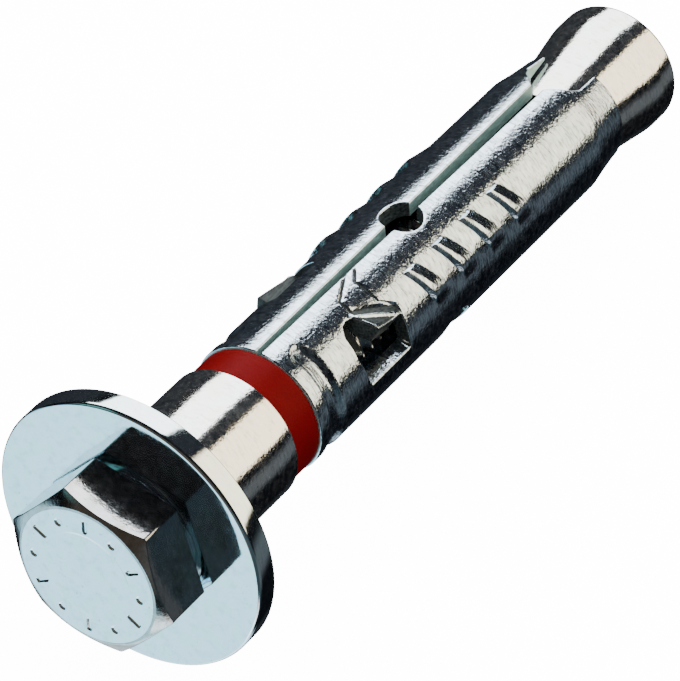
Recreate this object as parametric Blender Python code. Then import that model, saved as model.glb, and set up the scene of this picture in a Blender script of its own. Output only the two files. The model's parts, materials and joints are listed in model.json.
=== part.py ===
"""Heavy-duty sleeve anchor, size M8, lying on its washer and its cone.

Every piece is modelled about one straight axis, local +X, from the bolt head to the cone.
Local x = 0 is the face of the washer that the head bears on. Angles round the axis are
counted from the top, local +Z, and grow towards local -Y. The sleeve's open seam is on top.
"""

import math

import bmesh
import bpy
from mathutils import Matrix, Vector

MM = 0.001
SEGMENTS = 64  # facets round every turned piece, with one facet flat at the bottom

# hexagon head bolt
ACROSS_FLATS = 13.0 * MM
HEAD_HEIGHT = 5.3 * MM  # from the washer, seat gap included
HEAD_CHAMFER_DEG = 30.0
HEAD_FACE_INSET = 0.35 * MM  # from the flats to the flat circle inside the chamfer
HEX_TURN_DEG = 12.0  # how far a pair of wrench flats is turned from the top
COLLAR_INSET = 0.7 * MM  # from the flats to the washer face under the head
COLLAR_HEIGHT = 0.2 * MM
SHANK_D = 7.9 * MM
THREAD_INSET = 0.4 * MM  # the shank is drawn this much thinner where it screws into the cone
SHANK_STEP_CHAMFER = 0.4 * MM
SHANK_TIP_CHAMFER = 0.7 * MM
TIP_RECESS = 0.6 * MM  # the bolt ends this far inside the cone's end face

# clearances between neighbours
SEAT_GAP = 0.3 * MM  # along the axis, where one piece bears on the next
BORE_CLEARANCE = 0.3 * MM  # round the shank
CONE_CLEARANCE = 0.22 * MM  # between the cone and the sleeve's coned bore

# washer
WASHER_D = 24.0 * MM
WASHER_THICKNESS = 2.0 * MM
WASHER_EDGE_ROUND = 0.4 * MM
WASHER_BACK_CHAMFER = 0.15 * MM
WASHER_DRAW_MARGIN = 0.35 * MM  # the back face is drawn down at the bore, out to just past the spacer
WASHER_DRAW = 0.08 * MM

# distance sleeve
SPACER_WALL = 1.75 * MM
SPACER_LENGTH = 11.65 * MM
SPACER_CHAMFER = 0.15 * MM

# compression ring, red plastic
RING_SETBACK = 0.3 * MM  # of its outside from the distance sleeve's
RING_LENGTH = 2.95 * MM
RING_CHAMFER = 0.12 * MM

# expansion sleeve, rolled from sheet
SLEEVE_SETBACK = 0.1 * MM  # of its outside from the distance sleeve's
SLEEVE_LENGTH = 46.5 * MM
SHEET = 1.4 * MM
SEAM_GAP_AT_RING = 0.35 * MM
SEAM_GAP_AT_CONE = 1.25 * MM
SLEEVE_COLUMN_DEG = 7.6  # widest facet round the sleeve

# the sheet carries the same stamping three times round: a hole, a window with its barb, a row of teeth
STAMPINGS = 3
STAMPING_CENTRE_DEG = 58.0  # of the teeth, from the hole before them

# pressed groove that grips the ring, with plain sheet either side of the seam
GROOVE_START = 0.9 * MM  # from the sleeve's ring end
GROOVE_LENGTH = 2.4 * MM
GROOVE_DEPTH = 0.28 * MM
GROOVE_HALF_ANGLE_CLEAR_DEG = 17.0
GROOVE_RUNOUT_DEG = 3.0

# rows of teeth: a steep edge faces the head and a ramp falls away to the cone
ROW_WIDTH_DEG = 45.0
ROW_START = 16.3 * MM  # first tooth at the row's middle, from the ring end
TEETH_IN_ROW = 4
TOOTH_PITCH = 4.1 * MM
TOOTH_LENGTH = 3.0 * MM
TOOTH_HEIGHT = 0.32 * MM
TOOTH_CREST = 0.5 * MM
TOOTH_STEP = 0.08 * MM  # length of the steep edge along the axis
TOOTH_LEAD = 14.0 * MM  # how far a tooth's edge would advance in a whole turn
ROW_SIDE_DEG = 0.8

# round holes through the sheet, one of them on the seam
HOLE_D = 3.6 * MM
HOLE_STATION = 20.4 * MM

# windows, each with one corner of its sheet bent outwards as a barb.
# Points are (station from the ring end, degrees from the stamping's hole).
BARB_ROOT_NEAR = (8.5 * MM, 33.0)
BARB_ROOT_FAR = (12.8 * MM, 57.0)
BARB_TIP = (8.8 * MM, 54.5)
BARB_RISE = 0.8 * MM  # of its tip above the sheet
BARB_LANDING = 0.05 * MM  # its root lies this far inside the sheet, top and bottom
BARB_OVERLAP = 0.15  # how far its root reaches into the sheet, as a share of the barb's length
BARB_FAN_STEPS = 4
WINDOW_CENTRE = (8.4 * MM, 80.0)  # every edge of the window can be seen from here
WINDOW_RIM = (
    BARB_ROOT_NEAR,
    BARB_ROOT_FAR,
    (12.8 * MM, 87.0),
    (8.9 * MM, 87.0),
    (8.5 * MM, 102.0),
    (7.2 * MM, 102.0),
    (7.2 * MM, 92.0),
    (7.6 * MM, 86.0),
    (6.9 * MM, 72.0),
    (6.5 * MM, 60.0),
    (6.6 * MM, 42.0),
    (7.1 * MM, 34.0),
    (7.8 * MM, 31.0),
)

# how far the plugs that cut the holes and windows reach past the sheet
CUTTER_INSIDE = 1.0 * MM
CUTTER_OUTSIDE = 2.5 * MM

# cone end of the sleeve
NECK_LENGTH = 4.3 * MM  # stretch over which the outside tapers down
NECK_DRAW = 0.55 * MM  # how far the outside is drawn in
NECK_LIP = 0.23 * MM  # thickness left at the very end
NOTCH_DEPTH = 5.5 * MM  # at the seam
NOTCH_SHOULDER = 3.3 * MM
NOTCH_HALF_ANGLE_DEG = 27.0

# cone nut
CONE_INSIDE = 4.6 * MM  # length that sits inside the sleeve
CONE_FLARE_LENGTH = 5.8 * MM
CONE_SETBACK = 0.2 * MM  # of its outside from the distance sleeve's
CONE_LAND = 2.4 * MM
CONE_EDGE_ROUND = 0.5 * MM
CONE_LEAD_CHAMFER = 0.2 * MM

# stations along the axis, each from the one before
WASHER_BACK = WASHER_THICKNESS
SPACER_START = WASHER_BACK + SEAT_GAP
SPACER_END = SPACER_START + SPACER_LENGTH
RING_START = SPACER_END + SEAT_GAP
RING_END = RING_START + RING_LENGTH
SLEEVE_START = RING_END + SEAT_GAP
SLEEVE_END = SLEEVE_START + SLEEVE_LENGTH
CONE_START = SLEEVE_END - CONE_INSIDE
FLARE_START = SLEEVE_END
FLARE_END = FLARE_START + CONE_FLARE_LENGTH
CONE_END = FLARE_END + CONE_LAND
HEAD_BASE = -SEAT_GAP
HEAD_TOP = -HEAD_HEIGHT
SHANK_STEP = CONE_START - SEAT_GAP
SHANK_END = CONE_END - TIP_RECESS

SHANK_R = SHANK_D / 2
THREAD_R = SHANK_R - THREAD_INSET
BORE_R = SHANK_R + BORE_CLEARANCE
SPACER_R = BORE_R + SPACER_WALL
RING_R = SPACER_R - RING_SETBACK
SLEEVE_R = SPACER_R - SLEEVE_SETBACK
SLEEVE_BORE_R = SLEEVE_R - SHEET
NECK_END_R = SLEEVE_R - NECK_DRAW
CONE_R = SPACER_R - CONE_SETBACK
CONE_SEAT_R = NECK_END_R - NECK_LIP - CONE_CLEARANCE
CONE_BORE_R = THREAD_R + BORE_CLEARANCE
CONE_SLOPE = (CONE_R - CONE_SEAT_R) / CONE_FLARE_LENGTH
HEAD_FACE_R = ACROSS_FLATS / 2 - HEAD_FACE_INSET
COLLAR_R = ACROSS_FLATS / 2 - COLLAR_INSET

# colours: base colour, metallic, roughness
ZINC_BLUE = ((0.62, 0.70, 0.76), 1.0, 0.16)
ZINC_BRIGHT = ((0.72, 0.73, 0.74), 1.0, 0.20)
ZINC_WARM = ((0.74, 0.71, 0.66), 1.0, 0.20)
PLASTIC_RED = ((0.42, 0.02, 0.015), 0.0, 0.38)


def clear_scene():
    for obj in list(bpy.data.objects):
        bpy.data.objects.remove(obj, do_unlink=True)


def material(name, look):
    colour, metallic, roughness = look
    mat = bpy.data.materials.new(name)
    mat.use_nodes = True
    shader = mat.node_tree.nodes["Principled BSDF"]
    shader.inputs["Base Color"].default_value = (*colour, 1.0)
    shader.inputs["Metallic"].default_value = metallic
    shader.inputs["Roughness"].default_value = roughness
    return mat


def around(x, radius, angle):
    """The point at station x, at a radius and an angle from the top."""
    return Vector((x, -radius * math.sin(angle), radius * math.cos(angle)))


def object_from(bm, name, mat=None):
    bmesh.ops.triangulate(bm, faces=bm.faces)
    bmesh.ops.recalc_face_normals(bm, faces=bm.faces)
    mesh = bpy.data.meshes.new(name)
    bm.to_mesh(mesh)
    bm.free()
    if mat:
        mesh.materials.append(mat)
    mesh.shade_smooth()
    mesh.set_sharp_from_angle(angle=math.radians(22.0))
    obj = bpy.data.objects.new(name, mesh)
    bpy.context.collection.objects.link(obj)
    return obj


def turned(profile, name, mat=None, closed=True):
    """Spins (x, radius) points round the axis. An open profile starts and ends on the axis."""
    bm = bmesh.new()
    first = math.pi / SEGMENTS
    verts = [bm.verts.new(around(x, r, first)) for x, r in profile]
    pairs = zip(verts, verts[1:] + verts[:1]) if closed else zip(verts, verts[1:])
    edges = [bm.edges.new(pair) for pair in pairs]
    bmesh.ops.spin(
        bm,
        geom=verts + edges,
        cent=(0.0, 0.0, 0.0),
        axis=(1.0, 0.0, 0.0),
        angle=2 * math.pi,
        steps=SEGMENTS,
        use_merge=True,
    )
    bmesh.ops.remove_doubles(bm, verts=bm.verts, dist=1e-7)
    return object_from(bm, name, mat)


def arc(centre_x, centre_r, radius, start_deg, end_deg, steps):
    """Profile points on a quarter round or the like; 0 degrees points to +x, 90 outwards."""
    points = []
    for i in range(steps + 1):
        a = math.radians(start_deg + (end_deg - start_deg) * i / steps)
        points.append((centre_x + radius * math.cos(a), centre_r + radius * math.sin(a)))
    return points


def tidy_mesh(mesh):
    """Splits the faces into triangles and merges the slivers that a Boolean leaves behind."""
    bm = bmesh.new()
    bm.from_mesh(mesh)
    bmesh.ops.remove_doubles(bm, verts=bm.verts, dist=1e-6)
    bmesh.ops.dissolve_degenerate(bm, edges=bm.edges, dist=1e-7)
    bmesh.ops.triangulate(bm, faces=bm.faces)
    bmesh.ops.dissolve_degenerate(bm, edges=bm.edges, dist=1e-7)
    bm.to_mesh(mesh)
    bm.free()


def combine(target, other, operation):
    """Applies a Boolean to the target and removes the other object."""
    modifier = target.modifiers.new(operation.lower(), "BOOLEAN")
    modifier.operation = operation
    modifier.solver = "EXACT"
    modifier.object = other
    graph = bpy.context.evaluated_depsgraph_get()
    result = bpy.data.meshes.new_from_object(target.evaluated_get(graph))
    target.modifiers.clear()
    tidy_mesh(result)
    old = target.data
    target.data = result
    result.name = target.name
    bpy.data.meshes.remove(old)
    bpy.data.objects.remove(other, do_unlink=True)
    target.data.shade_smooth()
    target.data.set_sharp_from_angle(angle=math.radians(22.0))


def hex_prism():
    """The head's six flats, longer than the head, to be trimmed by its chamfer."""
    bm = bmesh.new()
    corner_r = ACROSS_FLATS / 2 / math.cos(math.pi / 6)
    corners = [math.radians(HEX_TURN_DEG + 30.0 + 60.0 * i) for i in range(6)]
    front = [bm.verts.new(around(HEAD_TOP - 1.0 * MM, corner_r, a)) for a in corners]
    back = [bm.verts.new(around(HEAD_BASE - COLLAR_HEIGHT, corner_r, a)) for a in corners]
    bm.faces.new(front)
    bm.faces.new(back[::-1])
    for i in range(6):
        j = (i + 1) % 6
        bm.faces.new((front[j], front[i], back[i], back[j]))
    return object_from(bm, "hex_prism")


def hex_bolt(mat):
    chamfer_r = ACROSS_FLATS
    chamfer_x = HEAD_TOP + (chamfer_r - HEAD_FACE_R) * math.tan(math.radians(HEAD_CHAMFER_DEG))
    chamfer_cone = [
        (HEAD_TOP, 0.0),
        (HEAD_TOP, HEAD_FACE_R),
        (chamfer_x, chamfer_r),
        (HEAD_BASE, chamfer_r),
        (HEAD_BASE, 0.0),
    ]
    head = turned(chamfer_cone, "hex_bolt", mat, closed=False)
    combine(head, hex_prism(), "INTERSECT")
    shank = [
        (HEAD_BASE - COLLAR_HEIGHT - 1.0 * MM, 0.0),
        (HEAD_BASE - COLLAR_HEIGHT - 1.0 * MM, COLLAR_R),
        (HEAD_BASE, COLLAR_R),
        (HEAD_BASE, SHANK_R),
        (SHANK_STEP - SHANK_STEP_CHAMFER, SHANK_R),
        (SHANK_STEP, THREAD_R),
        (SHANK_END - SHANK_TIP_CHAMFER, THREAD_R),
        (SHANK_END, THREAD_R - SHANK_TIP_CHAMFER),
        (SHANK_END, 0.0),
    ]
    combine(head, turned(shank, "shank", closed=False), "UNION")
    return head


def washer_profile():
    outer = WASHER_D / 2
    r = WASHER_EDGE_ROUND
    c = WASHER_BACK_CHAMFER
    front_edge = arc(r, outer - r, r, 180.0, 90.0, 3)
    drawn_from = SPACER_R + WASHER_DRAW_MARGIN
    back = [(WASHER_BACK - c, outer), (WASHER_BACK, outer - c), (WASHER_BACK, drawn_from)]
    return [(0.0, BORE_R), *front_edge, *back, (WASHER_BACK - WASHER_DRAW, BORE_R)]


def tube_profile(start, end, outer, bore, chamfer):
    return [
        (start, bore),
        (start, outer - chamfer),
        (start + chamfer, outer),
        (end - chamfer, outer),
        (end, outer - chamfer),
        (end, bore),
    ]


def cone_radius(x):
    """Radius of the cone's flank, inside and outside the sleeve."""
    return CONE_SEAT_R + CONE_SLOPE * (x - FLARE_START)


def cone_profile():
    outer = CONE_R
    lead = CONE_LEAD_CHAMFER
    r = CONE_EDGE_ROUND
    return [
        (CONE_START, CONE_BORE_R),
        (CONE_START, cone_radius(CONE_START) - lead),
        (CONE_START + lead, cone_radius(CONE_START + lead)),
        (FLARE_END, outer),
        *arc(CONE_END - r, outer - r, r, 90.0, 0.0, 3),
        (CONE_END, CONE_BORE_R),
    ]


def smooth_step(value):
    t = min(max(value, 0.0), 1.0)
    return t * t * (3.0 - 2.0 * t)


def groove_stations():
    """Stations of the pressed groove from the ring end, each with its share of the depth."""
    shape = ((0.0, 0.0), (0.22, 0.5), (0.5, 1.0), (0.8, 1.0), (0.97, 0.0))
    return [(GROOVE_START + GROOVE_LENGTH * share, depth) for share, depth in shape]


def tooth_stations():
    """Stations of one tooth from its steep edge, each with its share of the height."""
    return [(0.0, 0.0), (TOOTH_STEP, 0.85), (TOOTH_CREST, 1.0), (TOOTH_LENGTH * 0.55, 0.55), (TOOTH_LENGTH, 0.0)]


def neck_radius(station):
    """Outside radius near the cone end, where the sheet is drawn down over a round shoulder."""
    t = max(0.0, station - (SLEEVE_LENGTH - NECK_LENGTH)) / NECK_LENGTH
    return SLEEVE_R - (SLEEVE_R - NECK_END_R) * t * (1.35 - 0.35 * t)


def bore_radius(station):
    """Inside radius: a plain bore that opens out parallel to the cone."""
    return max(SLEEVE_BORE_R, cone_radius(SLEEVE_START + station) + CONE_CLEARANCE)


def stamping_turn(index):
    """Angle of a stamping's hole from the seam."""
    return 2 * math.pi * index / STAMPINGS


def sleeve_columns():
    """Angles of the sleeve's columns with (row index or None, tooth share)."""
    fixed = []
    half = math.radians(ROW_WIDTH_DEG / 2)
    side = math.radians(ROW_SIDE_DEG)
    for row in range(STAMPINGS):
        centre = stamping_turn(row) + math.radians(STAMPING_CENTRE_DEG)
        fixed.append((centre - half - side, row, 0.0))
        fixed.append((centre - half, row, 1.0))
        fixed.append((centre + half, row, 1.0))
        fixed.append((centre + half + side, row, 0.0))
    clear = math.radians(GROOVE_HALF_ANGLE_CLEAR_DEG)
    runout = math.radians(GROOVE_RUNOUT_DEG)
    for angle in (clear, clear + runout):
        fixed.append((angle, 0, 0.0))
        fixed.append((2 * math.pi - angle, STAMPINGS - 1, 0.0))
    fixed.sort()
    ends = [(0.0, 0, 0.0), *fixed, (2 * math.pi, STAMPINGS - 1, 0.0)]
    columns = [ends[0]]
    for (a, row_a, share_a), (b, row_b, share_b) in zip(ends, ends[1:]):
        steps = max(1, math.ceil((b - a) / math.radians(SLEEVE_COLUMN_DEG) - 1e-6))
        for i in range(1, steps):
            angle = a + (b - a) * i / steps
            inside = share_a == share_b == 1.0
            columns.append((angle, row_a if i * 2 < steps else row_b, 1.0 if inside else 0.0))
        columns.append((b, row_b, share_b))
    return columns


def tooth_shift(angle, row):
    """How far a row's stations slide along the axis at an angle, because its teeth slant."""
    half = math.radians(ROW_WIDTH_DEG / 2)
    from_centre = angle - stamping_turn(row) - math.radians(STAMPING_CENTRE_DEG)
    held = min(max(from_centre, -half), half)
    blend = 1.0 - smooth_step((abs(from_centre) - half) / math.radians(20.0))
    return TOOTH_LEAD / (2 * math.pi) * held * blend


def sleeve_stations():
    """(station, groove share, tooth share, slides with the teeth) along the outside, from the ring end."""
    lip = 0.2 * MM
    rows = [(0.0, 0.0, 0.0, False), (lip, 0.0, 0.0, False)]
    rows += [(s, depth, 0.0, False) for s, depth in groove_stations()]
    for k in range(TEETH_IN_ROW):
        rows += [(ROW_START + k * TOOTH_PITCH + s, 0.0, share, True) for s, share in tooth_stations()]
    neck = SLEEVE_LENGTH - NECK_LENGTH
    rows += [(neck + NECK_LENGTH * t, 0.0, 0.0, False) for t in (-0.1, 0.05, 0.3, 0.6, 1.0)]
    return rows


def seam_angle(station, radius):
    """Half the seam's opening, as an angle at a radius."""
    gap = SEAM_GAP_AT_RING + (SEAM_GAP_AT_CONE - SEAM_GAP_AT_RING) * station / SLEEVE_LENGTH
    return gap / 2 / radius


def zip_chains(bm, a, b):
    """Fills the strip between two chains of vertices that run the same way, with triangles."""
    i = j = 0
    while i < len(a) - 1 or j < len(b) - 1:
        step_a = j == len(b) - 1 or (i < len(a) - 1 and a[i + 1].co.x <= b[j + 1].co.x)
        if step_a:
            bm.faces.new((a[i], a[i + 1], b[j]))
            i += 1
        else:
            bm.faces.new((a[i], b[j + 1], b[j]))
            j += 1


def rolled_sheet(mat):
    """The sleeve's sheet with its groove, teeth and tapered end, before any cut-out."""
    bm = bmesh.new()
    columns = sleeve_columns()
    clear = math.radians(GROOVE_HALF_ANGLE_CLEAR_DEG)
    runout = math.radians(GROOVE_RUNOUT_DEG)

    def groove_share(angle):
        from_seam = min(angle, 2 * math.pi - angle)
        return smooth_step((from_seam - clear) / runout)

    def seam_side(angle, station, radius):
        """Puts the first and last columns on the seam's two edges and spreads the ones next to them."""
        edge = seam_angle(station, radius)
        if angle < clear:
            return edge + (clear - edge) * angle / clear
        if angle > 2 * math.pi - clear:
            return 2 * math.pi - edge - (clear - edge) * (2 * math.pi - angle) / clear
        return angle

    def grid(stations, inner):
        rows = []
        for station, groove, tooth, slides in stations:
            row = []
            for angle, row_index, share in columns:
                s = station + (tooth_shift(angle, row_index) if slides else 0.0)
                sunk = GROOVE_DEPTH * groove * groove_share(angle)
                if inner:
                    radius = bore_radius(s)
                else:
                    radius = neck_radius(s) - sunk + TOOTH_HEIGHT * tooth * share
                    if s == 0.0:
                        radius -= 0.12 * MM
                row.append(bm.verts.new(around(SLEEVE_START + s, radius, seam_side(angle, s, radius))))
            rows.append(row)
        for low, high in zip(rows, rows[1:]):
            for k in range(len(columns) - 1):
                bm.faces.new((low[k], low[k + 1], high[k + 1], high[k]))
        return rows

    outer = grid(sleeve_stations(), inner=False)
    coned = (CONE_SEAT_R + CONE_CLEARANCE - SLEEVE_BORE_R) / CONE_SLOPE
    straight = SLEEVE_LENGTH - coned
    inner_stations = [(straight * share, 0.0, 0.0, False) for share in (0.0, 0.1, 0.3, 0.5, 0.75, 1.0)]
    inner_stations.append((SLEEVE_LENGTH, 0.0, 0.0, False))
    inner = grid(inner_stations, inner=True)
    for end in (0, -1):
        for k in range(len(columns) - 1):
            bm.faces.new((outer[end][k], outer[end][k + 1], inner[end][k + 1], inner[end][k]))
    for side in (0, -1):
        zip_chains(bm, [row[side] for row in outer], [row[side] for row in inner])
    return object_from(bm, "expansion_sleeve", mat)


def radial_cutter(outline, centre, name):
    """A plug through the sheet from a (station, angle) outline seen whole from its centre."""
    bm = bmesh.new()
    low_r = SLEEVE_BORE_R - CUTTER_INSIDE
    high_r = SLEEVE_R + CUTTER_OUTSIDE
    low = [bm.verts.new(around(SLEEVE_START + s, low_r, a)) for s, a in outline]
    high = [bm.verts.new(around(SLEEVE_START + s, high_r, a)) for s, a in outline]
    low_mid = bm.verts.new(around(SLEEVE_START + centre[0], low_r, centre[1]))
    high_mid = bm.verts.new(around(SLEEVE_START + centre[0], high_r, centre[1]))
    for i in range(len(outline)):
        j = (i + 1) % len(outline)
        bm.faces.new((low[i], low[j], high[j], high[i]))
        bm.faces.new((high[i], high[j], high_mid))
        bm.faces.new((low[j], low[i], low_mid))
    return object_from(bm, name)


def densified(outline, closed=True, widest_deg=6.0):
    """Adds points to the long sides of a (station, angle) outline, so it follows the round sheet."""
    points = []
    following = outline[1:] + outline[:1] if closed else outline[1:]
    for (s0, a0), (s1, a1) in zip(outline, following):
        steps = max(1, math.ceil(abs(a1 - a0) / math.radians(widest_deg)))
        points += [(s0 + (s1 - s0) * i / steps, a0 + (a1 - a0) * i / steps) for i in range(steps)]
    return points if closed else [*points, outline[-1]]


def placed(point, turn):
    """A stamping's (station, degrees) point as (station, radians from the seam)."""
    return point[0], turn + math.radians(point[1])


def cut_hole(sleeve, turn):
    circle = []
    for i in range(20):
        a = 2 * math.pi * i / 20
        along = HOLE_D / 2 * math.cos(a)
        across = HOLE_D / 2 * math.sin(a) / SLEEVE_R
        circle.append((HOLE_STATION + along, turn + across))
    combine(sleeve, radial_cutter(circle, (HOLE_STATION, turn), "hole"), "DIFFERENCE")


def cut_notch(sleeve):
    """The wide notch at the seam's cone end, with a shallow V for its floor."""
    half = math.radians(NOTCH_HALF_ANGLE_DEG)
    floor = SLEEVE_LENGTH - NOTCH_DEPTH
    shoulder = SLEEVE_LENGTH - NOTCH_SHOULDER
    beyond = SLEEVE_LENGTH + 1.0 * MM
    outline = densified([(beyond, -half), (shoulder, -half), (floor, 0.0), (shoulder, half), (beyond, half)])
    combine(sleeve, radial_cutter(outline, (SLEEVE_LENGTH - 1.0 * MM, 0.0), "notch"), "DIFFERENCE")


def cut_window(sleeve, turn):
    points = densified([placed(p, turn) for p in WINDOW_RIM])
    combine(sleeve, radial_cutter(points, placed(WINDOW_CENTRE, turn), "window"), "DIFFERENCE")


def barb(turn):
    """The bent corner of the sheet: a fan from its free tip to the root where it leaves the sheet."""
    bm = bmesh.new()
    tip_s, tip_a = placed(BARB_TIP, turn)
    root = densified([placed(BARB_ROOT_NEAR, turn), placed(BARB_ROOT_FAR, turn)], closed=False)
    reach_in = 1.0 + BARB_OVERLAP

    def layer(tip_r, root_r):
        tip = bm.verts.new(around(SLEEVE_START + tip_s, tip_r, tip_a))
        rings = []
        for i in range(1, BARB_FAN_STEPS + 1):
            t = i / BARB_FAN_STEPS
            ring = []
            for s, a in root:
                station = tip_s + (s - tip_s) * t * reach_in
                angle = tip_a + (a - tip_a) * t * reach_in
                radius = tip_r + (root_r - tip_r) * min(1.0, t * reach_in)
                ring.append(bm.verts.new(around(SLEEVE_START + station, radius, angle)))
            rings.append(ring)
        return tip, rings

    def skin(tip, rings):
        for a, b in zip(rings[0], rings[0][1:]):
            bm.faces.new((tip, a, b))
        for near, away in zip(rings, rings[1:]):
            for k in range(len(root) - 1):
                bm.faces.new((near[k], away[k], away[k + 1], near[k + 1]))

    thickness = SHEET - 2 * BARB_LANDING
    top_tip, top = layer(SLEEVE_R + BARB_RISE, SLEEVE_R - BARB_LANDING)
    under_tip, under = layer(SLEEVE_R + BARB_RISE - thickness, SLEEVE_R - BARB_LANDING - thickness)
    skin(top_tip, top)
    skin(under_tip, under)
    for end in (0, -1):
        upper = [top_tip, *[ring[end] for ring in top]]
        lower = [under_tip, *[ring[end] for ring in under]]
        for k in range(BARB_FAN_STEPS):
            bm.faces.new((upper[k], upper[k + 1], lower[k + 1], lower[k]))
    for k in range(len(root) - 1):
        bm.faces.new((top[-1][k], top[-1][k + 1], under[-1][k + 1], under[-1][k]))
    return object_from(bm, "barb")


def expansion_sleeve(mat):
    sleeve = rolled_sheet(mat)
    cut_notch(sleeve)
    for index in range(STAMPINGS):
        turn = stamping_turn(index)
        cut_hole(sleeve, turn)
        cut_window(sleeve, turn)
        combine(sleeve, barb(turn), "UNION")
    return sleeve


def reach(profile, tilt):
    """How far a turned profile reaches below the axis origin when the axis dips by a tilt."""
    flat = math.cos(math.pi / SEGMENTS)
    return max(x * math.sin(tilt) + r * flat * math.cos(tilt) for x, r in profile)


def resting_tilt(front, back):
    """The dip of the axis at which both turned pieces touch the ground."""
    low, high = 0.0, math.radians(45.0)
    for _ in range(60):
        middle = (low + high) / 2
        if reach(front, middle) > reach(back, middle):
            low = middle
        else:
            high = middle
    return (low + high) / 2


def lay_down(pieces):
    """Parents the pieces to one empty, tips it to rest on washer and cone, and centres the whole."""
    tilt = resting_tilt(washer_profile(), cone_profile())
    axis = bpy.data.objects.new("anchor_axis", None)
    bpy.context.collection.objects.link(axis)
    axis.rotation_euler = (0.0, tilt, 0.0)
    turn = Matrix.Rotation(tilt, 3, "Y")
    for piece in pieces:
        piece.parent = axis
    corners = [turn @ v.co for piece in pieces for v in piece.data.vertices]
    low = [min(c[i] for c in corners) for i in range(3)]
    high = [max(c[i] for c in corners) for i in range(3)]
    axis.location = (-(low[0] + high[0]) / 2, -(low[1] + high[1]) / 2, -low[2])


def main():
    clear_scene()
    blue = material("zinc_blue", ZINC_BLUE)
    bright = material("zinc_bright", ZINC_BRIGHT)
    warm = material("zinc_warm", ZINC_WARM)
    red = material("plastic_red", PLASTIC_RED)
    spacer = tube_profile(SPACER_START, SPACER_END, SPACER_R, BORE_R, SPACER_CHAMFER)
    ring = tube_profile(RING_START, RING_END, RING_R, BORE_R, RING_CHAMFER)
    pieces = [
        hex_bolt(blue),
        turned(washer_profile(), "washer", blue),
        turned(spacer, "distance_sleeve", warm),
        turned(ring, "compression_ring", red),
        expansion_sleeve(bright),
        turned(cone_profile(), "cone_nut", warm),
    ]
    lay_down(pieces)


main()
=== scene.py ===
"""Looks of the sleeve anchor: zinc-plated steel pieces and a red plastic ring on a pale floor.

Pieces are built about the anchor's own axis, local +x from the bolt head to the cone, with
angles counted from the top towards -Y. Sizes here are in millimetres and are turned into the
frame's metres by placed(). Stations are measured from the washer's face under the head.
"""

import json
import math

import bmesh
import bpy
import numpy as np
from mathutils import Matrix, Vector
from mathutils.geometry import delaunay_2d_cdt


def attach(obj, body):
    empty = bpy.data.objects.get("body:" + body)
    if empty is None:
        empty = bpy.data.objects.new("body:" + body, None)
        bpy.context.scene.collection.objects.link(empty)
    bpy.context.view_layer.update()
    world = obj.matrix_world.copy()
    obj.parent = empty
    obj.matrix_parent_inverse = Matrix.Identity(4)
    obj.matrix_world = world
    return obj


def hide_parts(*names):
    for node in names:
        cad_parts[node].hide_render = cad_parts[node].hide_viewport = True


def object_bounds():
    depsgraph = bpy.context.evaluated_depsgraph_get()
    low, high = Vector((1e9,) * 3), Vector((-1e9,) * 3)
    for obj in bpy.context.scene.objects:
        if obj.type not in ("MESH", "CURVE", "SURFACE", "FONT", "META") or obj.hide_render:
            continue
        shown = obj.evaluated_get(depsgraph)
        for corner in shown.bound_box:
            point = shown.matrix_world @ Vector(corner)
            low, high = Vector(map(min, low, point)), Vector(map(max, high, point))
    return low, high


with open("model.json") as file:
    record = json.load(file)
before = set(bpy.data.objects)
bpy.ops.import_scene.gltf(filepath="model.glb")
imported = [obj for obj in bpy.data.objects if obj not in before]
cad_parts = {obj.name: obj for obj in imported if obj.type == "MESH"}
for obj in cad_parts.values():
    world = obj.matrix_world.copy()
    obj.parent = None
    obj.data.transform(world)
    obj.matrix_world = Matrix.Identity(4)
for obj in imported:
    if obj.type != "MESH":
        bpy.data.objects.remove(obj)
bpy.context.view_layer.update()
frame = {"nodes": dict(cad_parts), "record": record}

MM = 0.001
TAU = 2 * math.pi

# the camera of the photograph
CAMERA_PLACE_MM = (-215.525, -152.992, 257.077)
CAMERA_AZIMUTH_DEG = 54.06  # of its view from +Y towards +X
CAMERA_DOWN_DEG = 43.62
CAMERA_ROLL_DEG = 3.97
CAMERA_LENS_MM = 240.21
CAMERA_SENSOR_MM = 36.0

# sizes that the solids have too
WASHER_THICKNESS = 2.0


def anchor_axis():
    """The matrix from the anchor's own frame, in metres, to the world, read from the washer."""
    mount = next(m for m in frame["record"]["mounts"] if m["name"] == "washer_back")
    along = Vector(mount["axis"]).normalized()
    corners = {tuple(round(c, 7) for c in v.co) for v in frame["nodes"]["washer"].data.vertices}
    middle = sum((Vector(c) for c in corners), Vector()) / len(corners)
    to_back = (Vector(mount["pos_m"]) - middle).dot(along)
    origin = middle + along * (to_back - WASHER_THICKNESS * MM)
    across = Vector((0.0, 1.0, 0.0))
    up = along.cross(across).normalized()
    turn = Matrix((along, across, up)).transposed().to_4x4()
    return Matrix.Translation(origin) @ turn


AXIS = anchor_axis()


def make_camera():
    data = bpy.data.cameras.new("camera")
    data.lens = CAMERA_LENS_MM
    data.sensor_fit = "HORIZONTAL"
    data.sensor_width = CAMERA_SENSOR_MM
    data.clip_start = 0.01
    data.clip_end = 50.0
    camera = bpy.data.objects.new("camera", data)
    bpy.context.collection.objects.link(camera)
    azimuth = math.radians(CAMERA_AZIMUTH_DEG)
    down = math.radians(CAMERA_DOWN_DEG)
    level = math.cos(down)
    look = Vector((math.sin(azimuth) * level, math.cos(azimuth) * level, -math.sin(down)))
    aim = look.to_track_quat("-Z", "Y").to_matrix()
    roll = Matrix.Rotation(-math.radians(CAMERA_ROLL_DEG), 3, "Z")
    camera.matrix_world = Matrix.Translation(Vector(CAMERA_PLACE_MM) * MM) @ (aim @ roll).to_4x4()
    bpy.context.scene.camera = camera


make_camera()


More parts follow.
